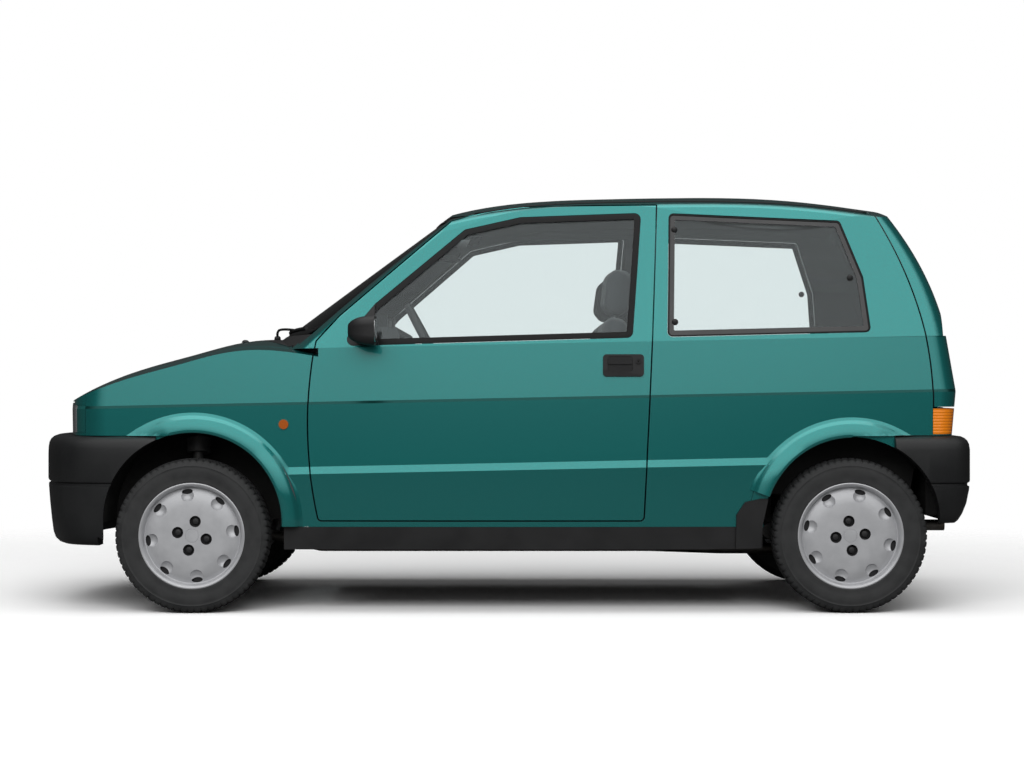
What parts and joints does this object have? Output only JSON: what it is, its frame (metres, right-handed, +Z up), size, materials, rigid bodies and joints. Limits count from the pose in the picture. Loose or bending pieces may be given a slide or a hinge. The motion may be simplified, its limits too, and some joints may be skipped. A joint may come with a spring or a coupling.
{
  "type": "city car",
  "caption": "Small hatchback city car with opening doors, bonnet and tailgate, steered front wheels, glazed cabin, seats, dashboard and plastic bumpers.",
  "frame": {"origin": "on the ground under the middle of the car's bounding box", "axes": "+X forward, +Y to the car's left, +Z up"},
  "size_m": [3.2118, 1.7642, 1.4353],
  "materials": {
    "body_paint": "metallic clear coat",
    "window_glass": "grey tint, clear",
    "black_plastic": "satin moulded",
    "grained_plastic": "grained moulded",
    "lamp_lens": "clear fluted",
    "tail_lens": "clear moulded",
    "underbody_coat": "matt underseal",
    "cabin_plastic": "grained moulded",
    "seat_fabric": "woven",
    "cast_metal": "cast",
    "axle_steel": "satin black",
    "tank_metal": "satin",
    "exhaust_steel": "dulled",
    "tyre_rubber": "matt",
    "wheel_silver": "silver satin"
  },
  "bodies": {
    "car_body": {"side_frame_left": "body_paint", "side_frame_right": "body_paint", "quarter_glasses": "window_glass", "roof_panel": "body_paint", "windscreen": "window_glass", "scuttle": "black_plastic", "fender_left": "body_paint", "fender_right": "body_paint", "front_panel": "body_paint", "front_lamps": "lamp_lens", "rear_panel": "body_paint", "tail_lamps": "tail_lens", "front_bumper": "grained_plastic", "rear_bumper": "grained_plastic", "sill_trims": "black_plastic", "floor_pan": "underbody_coat", "bulkhead": "underbody_coat", "dashboard": "cabin_plastic", "front_seats": "seat_fabric", "rear_seat": "seat_fabric", "parcel_shelf": "cabin_plastic", "front_suspension": "axle_steel", "engine_block": "cast_metal", "rear_axle": "axle_steel", "fuel_tank": "tank_metal", "exhaust": "exhaust_steel", "wipers_front": "black_plastic"},
    "left_door": {"door_left": "body_paint", "door_glass_left": "window_glass", "door_handle_left": "black_plastic", "mirror_left": "black_plastic"},
    "right_door": {"door_right": "body_paint", "door_glass_right": "window_glass", "door_handle_right": "black_plastic", "mirror_right": "black_plastic"},
    "tail_door": {"tailgate": "body_paint", "tailgate_glass": "window_glass"},
    "bonnet_lid": {"bonnet": "body_paint"},
    "left_knuckle": {"knuckle_left": "cast_metal"},
    "right_knuckle": {"knuckle_right": "cast_metal"},
    "front_left_wheel": {"tyre_front_left": "tyre_rubber", "wheel_front_left": "wheel_silver"},
    "front_right_wheel": {"tyre_front_right": "tyre_rubber", "wheel_front_right": "wheel_silver"},
    "rear_left_wheel": {"tyre_rear_left": "tyre_rubber", "wheel_rear_left": "wheel_silver"},
    "rear_right_wheel": {"tyre_rear_right": "tyre_rubber", "wheel_rear_right": "wheel_silver"},
    "steering": {"steering_wheel": "cabin_plastic"}
  },
  "joints": [
    {"name": "door_hinge_left", "type": "hinge", "parent": "car_body", "child": "left_door", "pos_m": [0.625, 0.725, 0.43], "axis": [0, 0.0217, -0.9998], "range_deg": [0, 65]},
    {"name": "door_hinge_right", "type": "hinge", "parent": "car_body", "child": "right_door", "pos_m": [0.625, -0.725, 0.43], "axis": [0, 0.0217, 0.9998], "range_deg": [0, 65]},
    {"name": "tailgate_hinge", "type": "hinge", "parent": "car_body", "child": "tail_door", "pos_m": [-1.28, 0, 1.406], "axis": [0, 1, 0], "range_deg": [0, 75]},
    {"name": "bonnet_hinge", "type": "hinge", "parent": "car_body", "child": "bonnet_lid", "pos_m": [0.655, 0, 0.93], "axis": [0, -1, 0], "range_deg": [0, 50]},
    {"name": "steer_left", "type": "hinge", "parent": "car_body", "child": "left_knuckle", "pos_m": [1.0135, 0.6, 0.2], "axis": [0, -0.2198, 0.9755], "range_deg": [-30, 30]},
    {"name": "steer_right", "type": "hinge", "parent": "car_body", "child": "right_knuckle", "pos_m": [1.0135, -0.6, 0.2], "axis": [0, 0.2198, 0.9755], "range_deg": [-30, 30]},
    {"name": "steering_wheel_turn", "type": "hinge", "parent": "car_body", "child": "steering", "pos_m": [0.225, 0.33, 0.883], "axis": [-0.8829, 0, 0.4695], "range_deg": [-450, 450]},
    {"name": "spin_front_left", "type": "hinge", "parent": "left_knuckle", "child": "front_left_wheel", "pos_m": [1.0135, 0.632, 0.258], "axis": [0, 1, 0], "continuous": true},
    {"name": "spin_front_right", "type": "hinge", "parent": "right_knuckle", "child": "front_right_wheel", "pos_m": [1.0135, -0.632, 0.258], "axis": [0, 1, 0], "continuous": true},
    {"name": "spin_rear_left", "type": "hinge", "parent": "car_body", "child": "rear_left_wheel", "pos_m": [-1.1865, 0.6285, 0.258], "axis": [0, 1, 0], "continuous": true},
    {"name": "spin_rear_right", "type": "hinge", "parent": "car_body", "child": "rear_right_wheel", "pos_m": [-1.1865, -0.6285, 0.258], "axis": [0, 1, 0], "continuous": true}
  ],
  "couplings": [
    {"joint": "steer_right", "follows": "steer_left", "ratio": 1},
    {"joint": "steering_wheel_turn", "follows": "steer_left", "ratio": 15}
  ]
}
